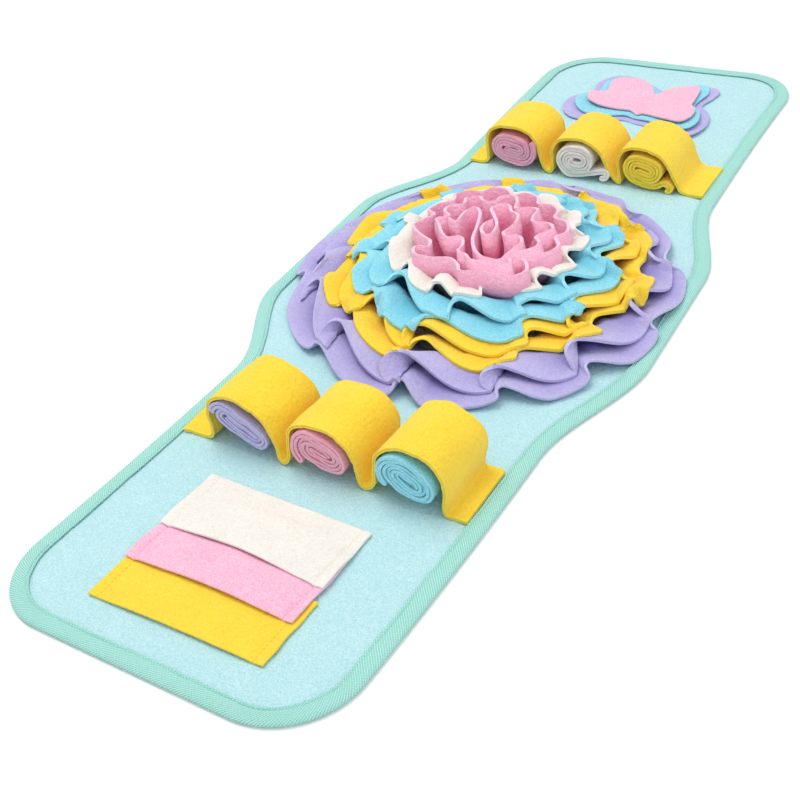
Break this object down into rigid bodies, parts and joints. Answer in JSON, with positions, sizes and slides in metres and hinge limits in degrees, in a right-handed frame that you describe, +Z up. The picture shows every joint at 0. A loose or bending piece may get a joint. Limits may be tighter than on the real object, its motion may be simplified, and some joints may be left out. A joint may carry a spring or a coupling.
{
  "type": "snuffle mat",
  "caption": "Long fleece snuffle mat with shingled treat pockets, arched straps holding fleece rolls, a gathered fleece flower and a stacked butterfly.",
  "frame": {"origin": "on the floor under the middle of the mat, at the bottom centre of its box", "axes": "+Y along the mat from the pocket end to the butterfly end, +X across it to the right, +Z up"},
  "size_m": [0.3457, 0.9, 0.0629],
  "materials": {
    "aqua_fleece": "soft brushed fleece",
    "mint_tape": "twill tape",
    "white_fleece": "soft brushed fleece",
    "pink_fleece": "soft brushed fleece",
    "rose_fleece": "soft brushed fleece",
    "yellow_fleece": "soft brushed fleece",
    "lilac_fleece": "soft brushed fleece",
    "blue_fleece": "soft brushed fleece"
  },
  "bodies": {
    "root": {"base_panel": "aqua_fleece", "edge_binding": "mint_tape", "pocket_yellow": "yellow_fleece", "pocket_pink": "pink_fleece", "pocket_white": "white_fleece", "near_loop_strip": "yellow_fleece", "far_loop_strip": "yellow_fleece", "near_roll_lilac": "lilac_fleece", "near_roll_pink": "pink_fleece", "near_roll_blue": "blue_fleece", "far_roll_rose": "rose_fleece", "far_roll_white": "white_fleece", "far_roll_yellow": "yellow_fleece", "ruffle_purple_lower": "lilac_fleece", "ruffle_purple_upper": "lilac_fleece", "ruffle_yellow_lower": "yellow_fleece", "ruffle_yellow_upper": "yellow_fleece", "ruffle_blue_lower": "blue_fleece", "ruffle_blue_upper": "blue_fleece", "ruffle_white": "white_fleece", "ruffle_pink_outer": "pink_fleece", "ruffle_pink_inner": "pink_fleece", "ruffle_pink_heart": "pink_fleece", "butterfly_purple": "lilac_fleece", "butterfly_blue": "blue_fleece", "butterfly_pink": "pink_fleece"}
  },
  "joints": []
}
